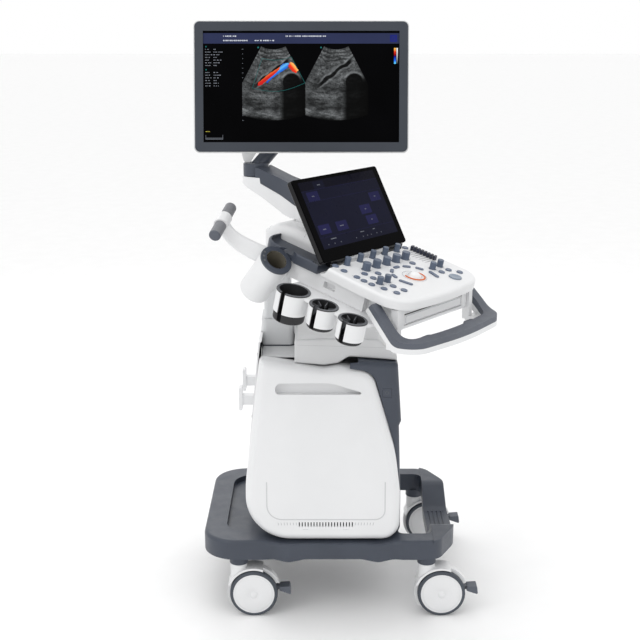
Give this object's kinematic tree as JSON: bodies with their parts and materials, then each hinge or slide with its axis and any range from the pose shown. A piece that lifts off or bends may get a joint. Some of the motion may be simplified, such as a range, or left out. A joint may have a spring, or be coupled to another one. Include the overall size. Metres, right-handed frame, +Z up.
{
  "type": "ultrasound machine",
  "caption": "Cart-mounted ultrasound scanner: monitor on a swivel arm, tilting touch screen, control console with handle, probe holders, gel warmer, lifting column and castered base.",
  "frame": {"origin": "on the floor, under the middle of the base", "axes": "+Z up; the operator stands at -Y of the straight console; the left side cover faces -X"},
  "size_m": [0.7114, 0.7289, 1.4339],
  "materials": {
    "white_plastic": "fine moulded texture",
    "slate_plastic": "satin moulded",
    "grey_shroud": "satin",
    "steel_frame": "powder coat",
    "column_paint": "smooth paint",
    "tyre": "polyurethane tread and white hub",
    "knob_blue_grey": "satin",
    "black_gloss": "gloss",
    "screen_glass": "dark panel",
    "liner_rubber": "matt rubber",
    "grip_grey": "soft touch",
    "module_metal": "brushed",
    "ball_white": "gloss",
    "bracket_metal": "satin",
    "slider_navy": "satin"
  },
  "bodies": {
    "base": {"base_frame": "steel_frame", "base_shell": "slate_plastic", "caster_sockets": "slate_plastic", "side_cover_left": "white_plastic", "side_cover_right": "white_plastic", "front_cover": "slate_plastic", "rear_cover": "white_plastic", "top_shroud": "grey_shroud", "electronics_module": "module_metal", "inlet_panel": "slate_plastic", "cord_hooks": "white_plastic", "column_outer": "column_paint"},
    "power_button": {"power_button": "slate_plastic"},
    "lift": {"column_inner": "column_paint"},
    "console": {"turntable": "slate_plastic", "console_lower_shell": "white_plastic", "console_rear_cover": "white_plastic", "side_tray": "slate_plastic", "control_panel": "white_plastic", "handle_frame": "white_plastic", "handle_grip": "grip_grey", "probe_rail": "white_plastic", "probe_liners": "liner_rubber", "gel_warmer_body": "white_plastic", "gel_warmer_rim": "slate_plastic", "hanger_arm": "white_plastic", "hanger_grips": "grip_grey", "touch_hinge_bracket": "bracket_metal"},
    "keyboard_drawer": {"keyboard_drawer": "white_plastic"},
    "keyboard_keys": {"keyboard_keys": "knob_blue_grey"},
    "touch_screen": {"touch_housing": "black_gloss", "touch_glass": "screen_glass"},
    "monitor_arm": {"arm_shell": "white_plastic", "arm_cover": "slate_plastic"},
    "monitor_link": {"monitor_link": "slate_plastic"},
    "monitor": {"monitor_rear_shell": "white_plastic", "monitor_bezel": "slate_plastic", "monitor_screen": "screen_glass"},
    "lever_left": {"lever_left": "grip_grey"},
    "lever_right": {"lever_right": "grip_grey"},
    "trackball": {"trackball": "ball_white"},
    "freeze_button": {"freeze_button": "knob_blue_grey"},
    "function_buttons": {"function_buttons": "knob_blue_grey"},
    "ring_keys": {"ring_keys": "knob_blue_grey"},
    "tgc_sliders": {"tgc_sliders": "slider_navy"},
    "knobs_rear_row": {"knobs_rear_row": "knob_blue_grey"},
    "knobs_front_row": {"knobs_front_row": "knob_blue_grey"},
    "knobs_small": {"knobs_small": "knob_blue_grey"},
    "caster_rear_left": {"caster_fork_rear_left": "white_plastic"},
    "wheels_rear_left": {"caster_wheels_rear_left": "tyre"},
    "pedal_rear_left": {"caster_pedal_rear_left": "grip_grey"},
    "caster_rear_right": {"caster_fork_rear_right": "white_plastic"},
    "wheels_rear_right": {"caster_wheels_rear_right": "tyre"},
    "pedal_rear_right": {"caster_pedal_rear_right": "grip_grey"},
    "caster_front_left": {"caster_fork_front_left": "white_plastic"},
    "wheels_front_left": {"caster_wheels_front_left": "tyre"},
    "pedal_front_left": {"caster_pedal_front_left": "grip_grey"},
    "caster_front_right": {"caster_fork_front_right": "white_plastic"},
    "wheels_front_right": {"caster_wheels_front_right": "tyre"},
    "pedal_front_right": {"caster_pedal_front_right": "grip_grey"}
  },
  "joints": [
    {"name": "caster_swivel_rear_left", "type": "hinge", "parent": "base", "child": "caster_rear_left", "pos_m": [-0.218, 0.232, 0.14], "axis": [0, 0, 1], "continuous": true},
    {"name": "wheel_spin_rear_left", "type": "hinge", "parent": "caster_rear_left", "child": "wheels_rear_left", "pos_m": [-0.218, 0.195, 0.059], "axis": [1, 0, 0], "continuous": true},
    {"name": "brake_pedal_rear_left", "type": "hinge", "parent": "caster_rear_left", "child": "pedal_rear_left", "pos_m": [-0.218, 0.147, 0.067], "axis": [1, 0, 0], "range_deg": [0, 12]},
    {"name": "caster_swivel_rear_right", "type": "hinge", "parent": "base", "child": "caster_rear_right", "pos_m": [0.218, 0.232, 0.14], "axis": [0, 0, 1], "continuous": true},
    {"name": "wheel_spin_rear_right", "type": "hinge", "parent": "caster_rear_right", "child": "wheels_rear_right", "pos_m": [0.218, 0.195, 0.059], "axis": [1, 0, 0], "continuous": true},
    {"name": "brake_pedal_rear_right", "type": "hinge", "parent": "caster_rear_right", "child": "pedal_rear_right", "pos_m": [0.218, 0.147, 0.067], "axis": [1, 0, 0], "range_deg": [0, 12]},
    {"name": "caster_swivel_front_left", "type": "hinge", "parent": "base", "child": "caster_front_left", "pos_m": [-0.218, -0.232, 0.14], "axis": [0, 0, 1], "continuous": true},
    {"name": "wheel_spin_front_left", "type": "hinge", "parent": "caster_front_left", "child": "wheels_front_left", "pos_m": [-0.218, -0.269, 0.059], "axis": [1, 0, 0], "continuous": true},
    {"name": "brake_pedal_front_left", "type": "hinge", "parent": "caster_front_left", "child": "pedal_front_left", "pos_m": [-0.218, -0.317, 0.067], "axis": [1, 0, 0], "range_deg": [0, 12]},
    {"name": "caster_swivel_front_right", "type": "hinge", "parent": "base", "child": "caster_front_right", "pos_m": [0.218, -0.232, 0.14], "axis": [0, 0, 1], "continuous": true},
    {"name": "wheel_spin_front_right", "type": "hinge", "parent": "caster_front_right", "child": "wheels_front_right", "pos_m": [0.218, -0.269, 0.059], "axis": [1, 0, 0], "continuous": true},
    {"name": "brake_pedal_front_right", "type": "hinge", "parent": "caster_front_right", "child": "pedal_front_right", "pos_m": [0.218, -0.317, 0.067], "axis": [1, 0, 0], "range_deg": [0, 12]},
    {"name": "power_press", "type": "slide", "parent": "base", "child": "power_button", "axis": [1, 0, 0], "range_m": [0, 0.0015], "stiffness_N_per_m": 900},
    {"name": "lift", "type": "slide", "parent": "base", "child": "lift", "axis": [0, 0, 1], "range_m": [-0.03, 0.2]},
    {"name": "console_swivel", "type": "hinge", "parent": "lift", "child": "console", "pos_m": [0, 0.128, 0.84], "axis": [0, 0, 1], "range_deg": [-7, 83]},
    {"name": "keyboard_slide", "type": "slide", "parent": "console", "child": "keyboard_drawer", "axis": [-0.6157, -0.788, 0], "range_m": [0, 0.15]},
    {"name": "keyboard_press", "type": "slide", "parent": "keyboard_drawer", "child": "keyboard_keys", "axis": [0, 0, 1], "range_m": [-0.002, 0], "stiffness_N_per_m": 2500},
    {"name": "touch_tilt", "type": "hinge", "parent": "console", "child": "touch_screen", "pos_m": [-0.15781, -0.07398, 0.89879], "axis": [0.788, -0.6157, 0], "range_deg": [-10, 28]},
    {"name": "arm_swivel", "type": "hinge", "parent": "console", "child": "monitor_arm", "pos_m": [-0.05664, 0.0555, 0.957], "axis": [0, 0, 1], "range_deg": [-90, 90]},
    {"name": "link_swivel", "type": "hinge", "parent": "monitor_arm", "child": "monitor_link", "pos_m": [0.03976, 0.19065, 1.058], "axis": [0, 0, 1], "range_deg": [-60, 60]},
    {"name": "monitor_tilt", "type": "hinge", "parent": "monitor_link", "child": "monitor", "pos_m": [0.07892, 0.077, 1.26596], "axis": [0, 1, 0], "range_deg": [-8, 15]},
    {"name": "lever_left_squeeze", "type": "hinge", "parent": "console", "child": "lever_left", "pos_m": [-0.3886, -0.2232, 0.749], "axis": [-0.788, 0.6157, 0], "range_deg": [0, 5], "stiffness_Nm_per_rad": 1.5},
    {"name": "lever_right_squeeze", "type": "hinge", "parent": "console", "child": "lever_right", "pos_m": [-0.24676, -0.33402, 0.749], "axis": [-0.788, 0.6157, 0], "range_deg": [0, 5], "stiffness_Nm_per_rad": 1.5},
    {"name": "trackball_roll", "type": "hinge", "parent": "console", "child": "trackball", "pos_m": [-0.24507, -0.18568, 0.85624], "axis": [0.788, -0.6157, 0], "continuous": true},
    {"name": "freeze_button_press", "type": "slide", "parent": "console", "child": "freeze_button", "axis": [-0.1487, -0.1904, 0.9704], "range_m": [-0.0012, 0], "stiffness_N_per_m": 3000},
    {"name": "function_buttons_press", "type": "slide", "parent": "console", "child": "function_buttons", "axis": [-0.1487, -0.1904, 0.9704], "range_m": [-0.0012, 0], "stiffness_N_per_m": 3000},
    {"name": "ring_keys_press", "type": "slide", "parent": "console", "child": "ring_keys", "axis": [-0.1487, -0.1904, 0.9704], "range_m": [-0.0012, 0], "stiffness_N_per_m": 3000},
    {"name": "knobs_rear_row_press", "type": "slide", "parent": "console", "child": "knobs_rear_row", "axis": [-0.1487, -0.1904, 0.9704], "range_m": [-0.0012, 0], "stiffness_N_per_m": 3000},
    {"name": "knobs_front_row_press", "type": "slide", "parent": "console", "child": "knobs_front_row", "axis": [-0.1487, -0.1904, 0.9704], "range_m": [-0.0012, 0], "stiffness_N_per_m": 3000},
    {"name": "knobs_small_press", "type": "slide", "parent": "console", "child": "knobs_small", "axis": [-0.1487, -0.1904, 0.9704], "range_m": [-0.0012, 0], "stiffness_N_per_m": 3000},
    {"name": "tgc_slide", "type": "slide", "parent": "console", "child": "tgc_sliders", "axis": [0.788, -0.6157, 0], "range_m": [-0.034, 0.002]}
  ]
}
